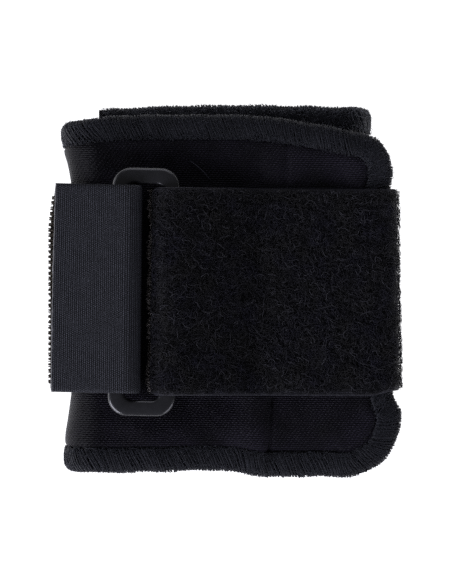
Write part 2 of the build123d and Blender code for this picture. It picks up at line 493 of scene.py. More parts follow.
knit_face = knit_material(
    "knit_face", (0.0005, 0.0002, 0.0013), (0.0205, 0.0172, 0.0305), (0.95, 0.50), 0.14, KNIT_LIGHT_AND_SHADE
)
knit_lining = knit_material(
    "knit_lining", (0.0016, 0.0016, 0.0022), (0.018, 0.018, 0.022), (0.80, 0.48), 0.2
)
foam_black = fibre_material("foam_black", (0.003, 0.003, 0.004), (0.010, 0.010, 0.011), 0.4)
edge_thread = fibre_material("edge_thread", (0.0016, 0.0016, 0.0030), (0.025, 0.0265, 0.036), 0.5)
fine_fibre = fibre_material("fine_fibre", (0.004, 0.004, 0.007), (0.034, 0.037, 0.050), 0.8)
# A much paler copy of the fine fibre: painted highlight, standing in for fuzz lit from behind and for
# a bright edge line.
painted_highlight_fibre = fibre_material("painted_highlight_fibre", (0.022, 0.022, 0.029), (0.200, 0.210, 0.245), 0.9)
seam_thread = fibre_material("seam_thread", (0.0015, 0.0015, 0.0022), (0.008, 0.008, 0.011))
stray_thread = fibre_material("stray_thread", (0.03, 0.03, 0.045), (0.10, 0.10, 0.13), 0.8)
pile_ground = cloth_material(
    "pile_ground", (0.0020, 0.0019, 0.0030), (0.034, 0.033, 0.048), (0.6, 0.4), (0.1, 1.2),
    (0.3, 2.0, 0.0), selvage_patches, 0.12, 0.3, sheen=0.03,
)
pile_fibre = loop_fibre_material(
    "pile_fibre", (0.0020, 0.0018, 0.0028), (0.0270, 0.0255, 0.0260), (0.0200, 0.0190, 0.0360)
)
# Far paler than the pile: painted light that brightens the shaded gap between the tab and the pile.
slot_painted_light_fibre = fibre_material("slot_painted_light_fibre", (0.115, 0.105, 0.10), (0.44, 0.40, 0.38), 0.6, 0.3)
pile_curl = fibre_material("pile_curl", (0.008, 0.008, 0.011), (0.038, 0.037, 0.048), 0.6, 0.3)
hook_back = woven_material(
    "hook_back", (0.0008, 0.0009, 0.0015), (0.088, 0.091, 0.111), (0.50, 0.48), 0.12, 0.25
)
hook_front = woven_material(
    "hook_front", (0.0020, 0.0019, 0.0018), (0.022, 0.018, 0.014), (0.9, 0.65), 0.10, 0.0
)
hook_fibre = fibre_material(
    "hook_fibre", (0.020, 0.016, 0.012), (0.085, 0.070, 0.052), 0.8, 0.1, 0.45, 0.0
)
# Pale grey: the sealed bead made pale as a painted highlight along the tab's cut edge.
sealed_bead_highlight = fibre_material(
    "sealed_bead_highlight", (0.05, 0.05, 0.055), (0.17, 0.17, 0.18), 0.5, 0.5, 0.4
)
ring_plastic = moulded_material("ring_plastic", (0.0175, 0.0178, 0.0200), (0.030, 0.030, 0.034))


# ------------------------------------------------------------------ the band, flat and rolled
LEFT_RADIUS = (FRONT_TOP - BACK_BOTTOM) / 2 - BAND
LEFT_HEIGHT = (FRONT_TOP + BACK_BOTTOM) / 2
RIGHT_RADIUS = (FLAP_BOTTOM - BACK_BOTTOM - BAND) / 2
RIGHT_HEIGHT = (FLAP_BOTTOM + BACK_BOTTOM + BAND) / 2
FRONT_LENGTH = FRONT_END_X - LEFT_FOLD_X
LEFT_LENGTH = pi * (LEFT_RADIUS + BAND / 2)
BACK_LENGTH = RIGHT_FOLD_X - LEFT_FOLD_X
RIGHT_LENGTH = pi * (RIGHT_RADIUS + BAND / 2)
FLAP_LENGTH = RIGHT_FOLD_X - FLAP_END_X
# Where each stretch of the band ends, measured along it from its outer end.
REACH = np.cumsum([FRONT_LENGTH, LEFT_LENGTH, BACK_LENGTH, RIGHT_LENGTH, FLAP_LENGTH])
# The stretch at the outer end that has the panel seam, its slack and its creases.
SEWN_PART = REACH[0] + 6


def roll(along, across, above):
    """Place in space of points of the band, from their place on the flat band."""
    along, across, above = np.broadcast_arrays(along, across, above)
    near = np.abs(across)
    # The front panel lifts a little beyond the strap, which holds it down.
    lift = 0.9 * ease(25.5, 34, near) - 0.25
    left_turn = pi * np.clip((along - REACH[0]) / LEFT_LENGTH, 0, 1)
    right_turn = pi * np.clip((along - REACH[2]) / RIGHT_LENGTH, 0, 1)
    # The strap also pulls the left fold in.
    pull = 1.15 - np.where(across > 0, 2.3, 1.5) * ease(23, 39, near)
    x_front = FRONT_END_X - along
    z_front = FRONT_TOP - BAND + above + lift * ease(REACH[0] + 2, REACH[0] - 14, along)
    left_size = LEFT_RADIUS + above
    x_left = LEFT_FOLD_X - (left_size - pull) * np.sin(left_turn)
    z_left = LEFT_HEIGHT + left_size * np.cos(left_turn)
    x_back = LEFT_FOLD_X + (along - REACH[1])
    z_back = BACK_BOTTOM + BAND - above
    right_size = RIGHT_RADIUS + above
    x_right = RIGHT_FOLD_X + right_size * np.sin(right_turn)
    z_right = RIGHT_HEIGHT - right_size * np.cos(right_turn)
    x_flap = RIGHT_FOLD_X - (along - REACH[3])
    z_flap = FLAP_BOTTOM + above
    stretches = [along <= REACH[0], along <= REACH[1], along <= REACH[2], along <= REACH[3]]
    x = np.select(stretches, [x_front, x_left, x_back, x_right], x_flap)
    z = np.select(stretches, [z_front, z_left, z_back, z_right], z_flap)
    return np.stack([x, np.array(across, float), z], -1)


def along_at(stretch, x):
    """Distance along the band of a place X on the front, back or flap."""
    return {
        "front": FRONT_END_X - x,
        "back": REACH[1] + x - LEFT_FOLD_X,
        "flap": REACH[3] + RIGHT_FOLD_X - x,
    }[stretch]


def on(stretch, *places):
    """Points of the flat band, from X and Y of places on one stretch of the rolled one."""
    return [(along_at(stretch, x), y) for x, y in places]


def smooth_edge(knots):
    """A function for one long edge of the flat band, from a few of its points."""
    at, height = np.array(knots, float).T
    fine = np.linspace(at[0], at[-1], 900)
    values = np.interp(fine, at, height)
    reach = 24
    kernel = np.hanning(2 * reach + 1)
    kernel /= kernel.sum()
    padded = np.pad(values, reach, mode="reflect", reflect_type="odd")
    values = np.convolve(padded, kernel, mode="valid")
    return lambda place: np.interp(place, fine, values)


top_edge = smooth_edge([
    *on("front", (33.0, 37.4), (20.8, 39.9), (9.1, 41.5), (-2.6, 41.9), (-20.0, 41.8), (-30.0, 41.3)),
    (REACH[0] + 0.5 * LEFT_LENGTH, 39.6),
    *on("back", (-28.0, 41.2), (0.0, 42.2), (26.0, 43.6)),
    (REACH[2] + 0.5 * RIGHT_LENGTH, 43.4),
    *on("flap", (26.0, 43.9), (8.0, 44.4), (-13.0, 44.1)),
    (REACH[4], 43.4),
])
bottom_edge = smooth_edge([
    *on("front", (26.5, -44.1), (20.0, -43.9), (9.5, -44.2), (-1.5, -42.4), (-20.0, -42.9),
        (-30.0, -43.2)),
    (REACH[0] + 0.5 * LEFT_LENGTH, -42.5),
    *on("back", (-28.0, -42.6), (26.0, -41.3)),
    (REACH[2] + 0.5 * RIGHT_LENGTH, -40.6),
    *on("flap", (26.0, -41.0)),
    (REACH[4], -40.8),
])

# The outer end of the band: rounded corners, and a waist where the strap pulls it in.
LOW_END = along_at("front", 26.5)
HIGH_END = along_at("front", 33.0)
end_corners = on(
    "front", (26.5, -44.1), (41.6, -44.3), (41.4, -28.6), (39.9, -25.0), (38.6, -14.0), (38.3, 14.0),
    (38.8, 24.0), (39.7, 28.6), (38.8, 32.6), (36.4, 35.8), (33.0, 37.4),
)
end_radii = [13.5, 3.0, 6.0, 9.0, 9.0, 6.0, 5.0, 4.0, 4.0]
end_line = rounded_route(end_corners, end_radii, EDGE_STEP)


def edge_line():
    """The cut edge of the flat band: bottom, rounded outer end and top, but not its inner end."""
    low = np.arange(REACH[4], LOW_END, -EDGE_STEP)
    high = np.arange(HIGH_END, REACH[4], EDGE_STEP)
    line = np.concatenate([
        np.stack([low, bottom_edge(low)], -1),
        end_line[1:-1],
        np.stack([high, top_edge(high)], -1),
    ])
    line = evenly(line, EDGE_STEP)
    inward = right_of(line)
    travel = EDGE_STEP * np.arange(len(line))
    return line + inward * (0.16 * wave(travel, travel * 0, 7.0, 11))[:, None]


def right_of(line):
    """Direction to the right of a line at each of its points, smoothed over a few of them."""
    heading = unit(np.gradient(line, axis=0))
    padded = np.pad(heading, ((4, 4), (0, 0)), mode="edge")
    mean = np.ones(9) / 9
    smooth = [np.convolve(column, mean, mode="valid") for column in padded.T]
    heading = unit(np.stack(smooth, -1))
    return np.stack([heading[:, 1], -heading[:, 0]], -1)


cut_edge = edge_line()
inner_edge_height = np.arange(top_edge(REACH[4]), bottom_edge(REACH[4]), -EDGE_STEP)
inner_edge = np.stack([np.full_like(inner_edge_height, REACH[4]), inner_edge_height], -1)


def edge_distance(along, across):
    """Distance of points of the flat band from its nearest cut edge."""
    edges = np.concatenate([cut_edge[::2], inner_edge[::2]])
    places = np.stack([along.ravel(), across.ravel()], -1)
    result = np.empty(len(places))
    for start in range(0, len(places), 4000):
        gap = places[start:start + 4000, None] - edges[None]
        result[start:start + 4000] = np.sqrt((gap ** 2).sum(-1).min(1))
    return result.reshape(along.shape)


seam_top = np.array(on("front", (15.0, 36.0), (13.2, 14.0)))
seam_bottom = np.array(on("front", (11.6, -14.0), (10.2, -37.9)))
seam_foot = rounded_route(
    on("front", (10.2, -38.3), (27.5, -38.0), (34.0, -35.2), (35.6, -30.5)), [18.0, 5.0], 0.4
)


def seam_distance(along, across, line):
    """Distance of points of the flat band from a seam."""
    line = evenly(line, 0.4)
    gap = np.stack([along, across], -1)[..., None, :] - line
    return np.sqrt((gap ** 2).sum(-1).min(-1))


def seam_side(along, across):
    """How far points of the flat band lie to the right of the slanted panel seam."""
    return FRONT_END_X - along - (12.4 + 0.0655 * across)


def ridge(distance, width):
    """1 at no distance, falling off to nothing over a width or two."""
    return np.exp(-((distance / width) ** 2))


def panel_relief(along, across, inset):
    """Slack and stretch of the front panel: it steps down at its seam and rises to its end."""
    side = seam_side(along, across)
    slack = 0.25 + 0.75 * ease(8, -24, across)
    before = slack * ease(-11, -1.5, side) * ease(0.3, -0.5, side)
    beyond = 1.1 * ease(8, 25, side)
    share = 0.35 + 0.65 * ease(0, OVERLOCK + 3, inset)
    return np.where(along < SEWN_PART, (before + beyond) * share, 0)


def outer_relief(along, across, inset):
    """How far the outer face of the band stands above or below its plain height."""
    sunk = -SUNK * ease(OVERLOCK + 0.5, OVERLOCK - 0.5, inset)
    pinch = -0.3 * ridge(inset - OVERLOCK, 0.5)
    swell = 0.22 * wave(along, across, 17.0, 3) + 0.08 * wave(along, across, 6.0, 4)
    relief = sunk + pinch + swell * ease(OVERLOCK, OVERLOCK + 4, inset)
    fold = ridge(seam_side(along, across), 0.42) * (inset > OVERLOCK - 1)
    foot = ridge(seam_distance(along, across, seam_foot), 0.45)
    creases = np.where(along < SEWN_PART, -0.7 * fold - 0.5 * foot, 0)
    return relief + creases + panel_relief(along, across, inset)


def edge_profile(inset, half):
    """Half thickness of the rounded cut edge at a distance in from it."""
    share = np.clip((1.7 - inset) / 2.05, 0, 1)
    return half * (1 - share ** 2.4) ** 0.5


def thinned(line, step, count):
    """A given number of the points set evenly along a line."""
    line = evenly(line, step)
    return line[np.linspace(0, len(line) - 1, count).astype(int)]


def band_grid():
    """Places on the flat band of a grid that fills its outline, one column per step along it."""
    rows = 108
    columns = 92
    share = np.linspace(0, 1, rows)
    low_corner, high_corner = (
        np.argmin(np.linalg.norm(end_line - [along_at("front", x), y], axis=1))
        for x, y in ((37.5, -40.3), (37.8, 34.0))
    )
    at = np.arange(REACH[0], LOW_END, -0.4)
    low = np.concatenate([np.stack([at, bottom_edge(at)], -1), end_line[:low_corner + 1]])
    at = np.arange(REACH[0], HIGH_END, -0.4)
    high = np.concatenate([np.stack([at, top_edge(at)], -1), end_line[high_corner:][::-1]])
    low, high = thinned(low, 0.1, columns), thinned(high, 0.1, columns)
    outer = thinned(end_line[low_corner:high_corner + 1], 0.05, rows)
    inner = low[0] + (high[0] - low[0]) * share[:, None]
    a = np.linspace(0, 1, columns)[:, None, None]
    b = share[None, :, None]
    front = (1 - b) * low[:, None] + b * high[:, None] + (1 - a) * inner[None] + a * outer[None]
    front = front - (
        (1 - a) * (1 - b) * low[0] + a * (1 - b) * low[-1]
        + (1 - a) * b * high[0] + a * b * high[-1]
    )
    steps = zip(REACH, REACH[1:], (34, 60, 26, 60))
    rest = np.concatenate([np.linspace(start, stop, count)[1:] for start, stop, count in steps])
    heights = bottom_edge(rest)[:, None] + (top_edge(rest) - bottom_edge(rest))[:, None] * share
    places = np.stack([np.broadcast_to(rest[:, None], heights.shape), heights], -1)
    return np.concatenate([front[::-1], places])


flat_band = band_grid()
flat_along = flat_band[..., 0]
flat_across = flat_band[..., 1]
inset_map = edge_distance(flat_along, flat_across)
relief_map = outer_relief(flat_along, flat_across, inset_map)
edge_share = edge_profile(inset_map, 1.0)


def band_depth(level):
    """Height of one level of the laminate over the grid, from 0 at its lining to 1 outside."""
    outside = MIDDLE + (BAND - MIDDLE + relief_map) * edge_share
    sunk = INNER_SUNK * ease(OVERLOCK + 0.5, OVERLOCK - 0.5, inset_map)
    inside = MIDDLE - (MIDDLE - sunk) * edge_share
    return inside + (outside - inside) * level


def band_sheet(name, low, high, material):
    """One layer of the laminate as a closed skin."""
    outer = roll(flat_along, flat_across, band_depth(high))
    inner = roll(flat_along, flat_across, band_depth(low))
    points, faces, uv = shell(outer, inner, flat_band)
    return add_mesh(name, points, faces, material, uv)


KNIT_SHARE = KNIT / BAND
outer_knit = band_sheet("outer_knit", 1 - KNIT_SHARE, 1, knit_face)
foam = band_sheet("foam_core", KNIT_SHARE, 1 - KNIT_SHARE, foam_black)
lining = band_sheet("lining", 0, KNIT_SHARE, knit_lining)


# ------------------------------------------------------------------ overlock seams
def on_rim(place, side, clear):
    """Place in space of a thread on the band's rim: side 1 is outside, -1 inside, 0 the cut."""
    inset = np.minimum(place[..., 2], OVERLOCK + 0.2)
    share = edge_profile(inset, 1.0)
    slack = panel_relief(place[..., 0], place[..., 1], inset)
    outside = MIDDLE + (BAND - MIDDLE - SUNK + clear + slack) * share
    inside = MIDDLE - (MIDDLE - INNER_SUNK + clear) * share
    above = np.where(side > 0, outside, np.where(side < 0, inside, MIDDLE))
    return roll(place[..., 0], place[..., 1], above)


def seam_places(line, inward, travel, inset):
    """Places on the flat band, and their insets, from distances along a seam and in from it."""
    at = np.clip(travel / EDGE_STEP, 0, len(line) - 1.001)
    base = at.astype(int)
    part = (at - base)[..., None]
    inset = np.asarray(inset, float)[..., None]
    place = line[base] * (1 - part) + line[base + 1] * part
    toward = inward[base] * (1 - part) + inward[base + 1] * part
    return np.concatenate([place + toward * inset, inset], -1)


def overlock_strands(name, line, first, last, seed):
    """Slanted strands of bulky looper thread that wrap a stretch of cut edge."""
    draw = np.random.default_rng(seed)
    inward = right_of(line)
    plies = 3
    count = int((last - first) / STRAND_PITCH) * plies
    start = first + STRAND_PITCH * (np.arange(count) // plies)[:, None]
    inset = np.array([5.3, 4.3, 3.2, 2.1, 1.1, 0.35, -0.1, -0.1, 0.4, 1.6, 3.2, 4.9])
    side = np.array([1, 1, 1, 1, 1, 1, 1, -1, -1, -1, -1, -1])
    slant = 2.3 * np.clip(1 - inset / 5.3, 0, 1)
    slant[7:] = 2.3 - 1.6 * np.clip(inset[7:] / 5.0, 0, 1)
    spread = draw.uniform(-0.22, 0.22, (count, 1)) + draw.normal(0, 0.05, (count, len(inset)))
    travel = start + slant + spread
    depth = inset + ease(3.5, 5.3, inset) * draw.normal(0, 0.2, (count, 1))
    depth = depth - ease(1.0, -0.3, inset) * np.abs(draw.normal(0, 0.12, (count, 1)))
    puff = 0.12 + 0.32 * np.sin(pi * np.clip((5.6 - inset) / 6.0, 0, 1))
    clear = puff + draw.uniform(-0.1, 0.12, (count, 1)) + draw.normal(0, 0.03, (count, len(inset)))
    paths = on_rim(seam_places(line, inward, travel, depth), side, clear)
    return threads(name, paths, draw.uniform(0.13, 0.22, (count, 1)), edge_thread)


def needle_thread(name, line, seed):
    """The fine thread that holds an overlock seam, one chain on each face of the band."""
    draw = np.random.default_rng(seed)
    inward = right_of(line)
    pitch = 2 * STRAND_PITCH
    count = int(EDGE_STEP * (len(line) - 1) / pitch) - 1
    paths = []
    for side in (1, -1):
        start = (np.arange(count)[:, None] + 0.5) * pitch
        travel = start + pitch * np.array([0.04, 0.22, 0.5, 0.78, 0.96])
        inset = np.full(travel.shape, 5.5) + draw.normal(0, 0.06, (count, 1))
        arch = np.array([-0.25, 0.02, 0.10, 0.02, -0.25])
        paths.append(on_rim(seam_places(line, inward, travel, inset), side, arch))
    return threads(name, np.concatenate(paths), 0.11, seam_thread)


def edge_fuzz(name, line, stretches, seed, material=fine_fibre):
    """Short curled fibres of the bulky overlock thread, as (first, last, number) stretches."""
    draw = np.random.default_rng(seed)
    inward = right_of(line)
    travel = np.concatenate([draw.uniform(*stretch[:2], stretch[2]) for stretch in stretches])
    count = len(travel)
    inset = draw.uniform(-0.2, 5.6, count)
    side = np.where(draw.uniform(0, 1, count) < 0.85, 1, -1)
    clear = draw.uniform(0.30, 0.5, count)
    place = seam_places(line, inward, travel, inset)
    root = on_rim(place, side, clear)
    further = seam_places(line, inward, travel, inset - 1.0)
    further[:, 2] = place[:, 2]
    outward = unit(on_rim(further, side, clear) - root)
    raised = unit(on_rim(place, side, clear + 1) - root)
    rim = ease(1.2, 0.0, inset)[:, None]
    along = np.cross(outward, raised)
    angle = draw.normal(0, 1.1, count)[:, None]
    aim = np.cos(angle) * outward + np.sin(angle) * along
    aim = unit(aim + raised * (0.25 + 0.35 * draw.uniform(-1, 1, (count, 1))) * (1 - 0.5 * rim))
    curl = unit(np.cross(aim, draw.normal(0, 1, (count, 3))) - 0.8 * raised)
    length = draw.uniform(0.45, 1.3, count) * (1 - 0.45 * rim[:, 0])
    radius = [0.06, 0.055, 0.045, 0.02]
    return loose_fibres(name, root, aim, curl, length, 0.5, radius, material, 0.05)


edge_length = EDGE_STEP * (len(cut_edge) - 1)
inner_length = EDGE_STEP * (len(inner_edge) - 1)
# Where the front panel's part of the edge starts and stops, measured from the band's inner end.
front_first = REACH[4] - REACH[0] - 8
front_last = edge_length - front_first
edge_strands = [
    overlock_strands("edge_overlock_a", cut_edge, 0.3, edge_length / 2, 21),
    overlock_strands("edge_overlock_b", cut_edge, edge_length / 2, edge_length - 3, 22),
]
end_strands = overlock_strands("inner_end_overlock", inner_edge, 0.3, inner_length - 3, 23)
edge_needle = needle_thread("edge_needle_thread", cut_edge, 24)
end_needle = needle_thread("inner_end_needle_thread", inner_edge, 25)
front_half = (front_first + front_last) / 2
edge_fluff = [
    edge_fuzz("edge_fibres_a", cut_edge, [(front_first, front_half, 6200)], 26),
    edge_fuzz("edge_fibres_b", cut_edge, [(front_half, front_last, 6200)], 27),
    # The fuzz off the front panel takes the paler fibre: a painted backlight highlight.
    edge_fuzz("edge_fibres_c", cut_edge, [
        (0.5, front_first, 1500), (front_last, edge_length - 72, 900),
        (edge_length - 72, edge_length - 0.5, 3400),
    ], 28, painted_highlight_fibre),
]
end_fluff = edge_fuzz("inner_end_fibres", inner_edge, [(0.5, inner_length - 0.5, 700)], 29)


# ------------------------------------------------------------------ stitches on the front panel
def surface_height(places, clear):
    """Height above the lining of something that lies on the outer face of the band."""
    inset = edge_distance(places[..., 0], places[..., 1])
    relief = outer_relief(places[..., 0], places[..., 1], inset)
    return BAND + relief + clear


def band_stitches(name, lines, pitch, thickness, sunk, material):
    """Rows of plain stitches that lie in a seam's groove."""
    paths = []
    for line in lines:
        line = evenly(line, pitch)
        middle = (line[1:] + line[:-1]) / 2
        reach = (line[1:] - line[:-1]) / 2 * 0.82
        spread = np.array([-1, -0.55, 0, 0.55, 1])[None, :, None]
        places = middle[:, None] + spread * reach[:, None]
        arch = np.array([-0.30, 0.04, 0.12, 0.04, -0.30])
        above = surface_height(places, arch - sunk)
        paths.append(roll(places[..., 0], places[..., 1], above))
    return threads(name, np.concatenate(paths), thickness, material, 6)


panel_seam = band_stitches(
    "panel_seam", [seam_top, seam_bottom, seam_foot], 2.1, 0.13, 0.04, seam_thread
)
flap_line = np.array([
    (REACH[2] + 8.4, 38.4), (REACH[2] + 10.4, 39.7), (REACH[2] + 13.0, 40.7),
    *on("flap", (26.0, 41.3), (19.0, 41.9), (10.0, 42.4)),
])
# Two pale threads along the flap's line: a seam whose pale colour is a painted highlight along that
# edge.
flap_seam = band_stitches(
    "flap_seam", [flap_line, flap_line - [0, 0.6]], 1.1, 0.10, 0.0, painted_highlight_fibre
)


def stray_fibre():
    """A loose hair of thread that lies across the front panel."""
    knots = np.array([(-8.4, 31.0), (-5.6, 29.2), (-3.6, 26.4)])
    t = np.linspace(0, 1, 16)[:, None]
    line = (1 - t) ** 2 * knots[0] + 2 * t * (1 - t) * knots[1] + t * t * knots[2]
    places = np.stack([along_at("front", line[:, 0]), line[:, 1]], -1)
    above = surface_height(places[None], 0.12)[0] + 0.35 * np.sin(pi * t[:, 0])
    path = roll(places[:, 0], places[:, 1], above)
    return threads("stray_fibre", path[None], 0.075, stray_thread, 6)


stray = stray_fibre()


# ------------------------------------------------------------------ tapes along their routes
def strap_space(along, across, height):
    """Place in space of a point given along and across the strap and above the ground."""
    along, across, height = (np.asarray(value, float)[..., None] for value in (along, across, height))
    return along * along_strap + across * across_strap + height * UP


class Route:
    """A tape's route in the strap's end view, with the hook or pile side on its left."""

    def __init__(self, corners, radii, step=0.15):
        self.line = rounded_route(corners, radii, step)
        heading = unit(np.gradient(self.line, axis=0))
        self.left = np.stack([-heading[:, 1], heading[:, 0]], -1)
        self.heading = heading
        gaps = np.linalg.norm(np.diff(self.line, axis=0), axis=1)
        self.travel = np.concatenate([[0], np.cumsum(gaps)])
        self.length = self.travel[-1]

    def at(self, travel, values):
        """Values of the route at distances along it."""
        return np.stack([np.interp(travel, self.travel, values[:, k]) for k in range(2)], -1)

    def place(self, travel, across, above, skew):
        """Place in space at distances along the route, across the strap and to its left."""
        travel, across, above = np.broadcast_arrays(travel, across, above)
        point = self.at(travel, self.line) + self.at(travel, self.left) * above[..., None]
        along, across = skew(point[..., 0], across, point[..., 1])
        return strap_space(along, across, point[..., 1])

    def where(self, test):
        """Distance along the route of the first point that passes a test."""
        return self.travel[np.argmax([test(*point) for point in self.line])]


def pile_skew(along, across, height):
    """The pile tape runs a little straighter than the ring, and wraps a slanted edge."""
    shift = -0.03 + 0.97 * (along + 17.6) / 58.6
    pulled = along - 0.036 * across * ease(8, 38, along)
    pulled = pulled - 0.012 * (across + 24) * ease(-4, -14, along)
    tucked = 1.5 * ease(-8, -26, across) * ease(33, 41.5, along)
    return pulled, across + shift + tucked


def hook_skew(along, across, height):
    """The hook tape hangs over the ring a little askew, and lies square round the left fold."""
    askew = -0.012 * (across + 24) * ease(-36, -26, along)
    square = 1.2 * ease(13, 26, across) - 0.0218 * across
    square = square * ease(-30, -41, along) * ease(22.5, 20.5, height)
    bowed = -0.2 * np.cos(pi * across / STRAP) * ease(-34, -41, along) * ease(20.5, 22.5, height)
    return along + askew + square + bowed, across


def tape_mesh(name, place, travel, across, heights, material):
    """A stretch of tape as a closed skin, from the heights of its two faces over the route."""
    outer, inner = (place(travel, across, height) for height in heights)
    uv = np.stack(np.broadcast_arrays(travel, across), -1)
    points, faces, flat = shell(outer, inner, uv)
    return add_mesh(name, points, faces, material, flat)


PILE_BED = FRONT_TOP + 0.2 + PILE / 2
LOOP = PILE / 2 + 2.4
ring_u = float(ring_pivot @ along_strap)
ring_z = ring_pivot[2]
PILE_RIGHT = 41.3
pile_route = Route(
    [(2.4, PILE_BED), (ring_u - LOOP, PILE_BED), (ring_u - LOOP, ring_z + LOOP),
     (ring_u + 1.9, ring_z + LOOP), (3.0, 21.75), (6.5, PILE_BED), (PILE_RIGHT, PILE_BED),
     (39.1, PILE / 2), (-9.5, PILE / 2)],
    [3.25, 3.25, 8.0, 4.0, 6.0, 2.4, 4.0],
)


def pile_place(travel, across, above):
    """Place in space of a point on the pile tape."""
    return pile_route.place(travel, across + PILE_MIDDLE, above, pile_skew)


def pile_ground_mesh():
    """The woven ground of the pile tape."""
    travel = np.linspace(0, pile_route.length, int(pile_route.length / 0.3))[:, None]
    share = np.linspace(-1, 1, 150)[None, :]
    across = STRAP / 2 * share
    thin = ease(1.004, 0.985, np.abs(share))
    lumps = 0.10 * wave(travel, across, 1.6, 31) + 0.16 * wave(travel, across, 4.5, 32)
    outer = (0.05 + lumps) * thin - 0.35 * (1 - thin)
    inner = -PILE / 2 + 0 * travel + 0.25 * (1 - thin)
    return tape_mesh("pile_tape", pile_place, travel, across, (outer, inner), pile_ground)


def pile_loops(name, start, stop, density, height, seed, reach=(1.2, 3.0), material=pile_fibre,
               thickness=(0.038, 0.068), clumping=0.5, most=1.1):
    """Thousands of curled fibres that rise from the ground of the pile tape and sink back."""
    draw = np.random.default_rng(seed)
    edge = STRAP / 2 - 0.8
    count = int((stop - start) * 2 * edge * density)
    travel = draw.uniform(start, stop, count)
    across = draw.uniform(-edge, edge, count)
    clump = 0.5 * wave(travel, across, 2.6, 5) + 0.5 * wave(travel, across, 6.5, 6)
    kept = draw.uniform(-0.9, 0.9, count) < 1.3 * clump + clumping
    travel, across, clump = travel[kept], across[kept], clump[kept]
    count = len(travel)
    t = np.linspace(0, 1, 8)
    angle = draw.uniform(0, 2 * pi, (count, 1)) + draw.normal(0, 2.4, (count, 1)) * t
    angle = angle + draw.normal(0, 0.35, (count, 8))
    step = (draw.uniform(*reach, count) / 7)[:, None]
    at_travel = travel[:, None] + np.cumsum(step * np.cos(angle), 1)
    at_across = across[:, None] + np.cumsum(step * np.sin(angle), 1)
    tall = height * np.clip(0.72 + 0.42 * clump + draw.normal(0, 0.14, count), 0.2, most)
    rise = tall[:, None] * np.sin(pi * (0.06 + 0.88 * t)) ** 0.5 + draw.normal(0, 0.04, (count, 8))
    at_travel = np.clip(at_travel, 0.05, pile_route.length - 0.05)
    at_across = np.clip(at_across, -STRAP / 2 + 0.5, STRAP / 2 - 0.5)
    paths = pile_place(at_travel, at_across, rise)
    radius = draw.uniform(*thickness, (count, 1)) * np.array([0.7, 1, 1, 1, 1, 1, 1, 0.6])
    return threads(name, paths, radius, material, floor=0.1)


pile_tape = pile_ground_mesh()
loop_top = pile_route.where(lambda u, z: z > ring_z)
front_end = pile_route.where(lambda u, z: u > PILE_RIGHT - 1.6 and z > 15)
side_end = pile_route.where(lambda u, z: u > 30 and z < 1.5)
LOOP_HEIGHT = PILE / 2 - 0.02
# The part of the loop that faces the slot low down, where the tab never swings.
slot_foot = pile_route.where(lambda u, z: u < ring_u - 2.6)
slot_top = pile_route.where(lambda u, z: u < ring_u and z > ring_z - 1.1)
deep_foot = pile_route.where(lambda u, z: u < ring_u and z > ring_z - 2.1)
deep_top = pile_route.where(lambda u, z: u < ring_u and z > ring_z - 1.2)
front_parts = np.linspace(loop_top - 5, front_end, 7)
pile_pieces = [
    pile_loops(f"pile_loops_{number}", first, last, 6.6, LOOP_HEIGHT, 41 + number)
    for number, (first, last) in enumerate(zip(front_parts, front_parts[1:]))
]
pile_pieces += [
    pile_loops("pile_curls", loop_top - 3, front_end, 0.62, LOOP_HEIGHT * 1.12, 55, (1.6, 3.6),
               pile_curl, (0.055, 0.09), 0.2, 1.0),
    # The curls in the slot take the pale slot fibre: painted light in the shaded gap.
    pile_loops("pile_curls_slot", slot_foot, slot_top, 17.0, LOOP_HEIGHT * 1.75, 56,
               (0.8, 2.0), slot_painted_light_fibre, (0.04, 0.065), 0.9),
    pile_loops("pile_curls_deep", deep_foot, deep_top, 26.0, LOOP_HEIGHT * 2.15, 57,
               (0.6, 1.8), slot_painted_light_fibre, (0.045, 0.07), 0.9),
    pile_loops("pile_loops_side", front_end, side_end, 3.2, LOOP_HEIGHT, 61),
    pile_loops("pile_loops_back", side_end, pile_route.length - 0.8, 2.0, 0.75, 71, (0.8, 1.8)),
]


def pile_edge_fibres():
    """Fibres that stand out from the edges and the rounded side of the pile tape."""
    draw = np.random.default_rng(81)
    count = 1800
    travel = draw.uniform(loop_top - 4, side_end, count)
    side = np.sign(draw.uniform(-1, 1, count))
    rounded = draw.uniform(0, 1, count) < 0.85
    travel = np.where(rounded, draw.uniform(front_end - 3, side_end, count), travel)
    across = np.where(rounded, draw.uniform(-24, 24, count), side * (STRAP / 2 - 0.25))
    above = np.where(rounded, LOOP_HEIGHT * 0.8, draw.uniform(-0.2, 0.6, count))
    root = pile_place(travel, across, above)
    raised = pile_place(travel, across, above + 1) - root
    outward = pile_place(travel, across + side, above) - root
    aim = np.where(rounded[:, None], raised, 0.35 * outward + 0.7 * raised)
    aim = unit(aim + draw.normal(0, 0.6, (count, 3)))
    curl = unit(np.cross(aim, draw.normal(0, 1, (count, 3))))
    length = draw.uniform(0.12, 0.34, count)
    radius = [0.055, 0.05, 0.045, 0.035, 0.02]
    return loose_fibres("pile_edge_fibres", root, aim, curl, length, 0.6, radius, pile_fibre, 0.1)


pile_pieces.append(pile_edge_fibres())


def tape_stitches(name, route_place, places, thickness, reach=21.0, pitch=3.4):
    """Rows of stitches straight across a tape, at distances along its route."""
    paths = []
    middles = np.arange(-reach + pitch / 2, reach, pitch)
    spread = np.array([-1.25, -0.8, 0, 0.8, 1.25])
    for travel, height in places:
        across = middles[:, None] + spread
        arch = height + np.array([-0.35, 0.05, 0.12, 0.05, -0.35])
        paths.append(route_place(travel, across, arch))
    return threads(name, np.concatenate(paths), thickness, seam_thread, 6)


loop_rows = [pile_route.where(lambda u, z: u > x and z > 21.0) for x in (-1.4, 1.0)]
back_rows = [
    pile_route.where(lambda u, z: u < 14.0 and z < 2.0 and u > 0),
    pile_route.length - 2.0,
]
loop_stitches = tape_stitches(
    "loop_stitches", pile_place, [(row, 0.12) for row in loop_rows], 0.15
)
pile_back_stitches = tape_stitches(
    "pile_back_stitches", pile_place, [(row, 0.55) for row in back_rows], 0.2
)


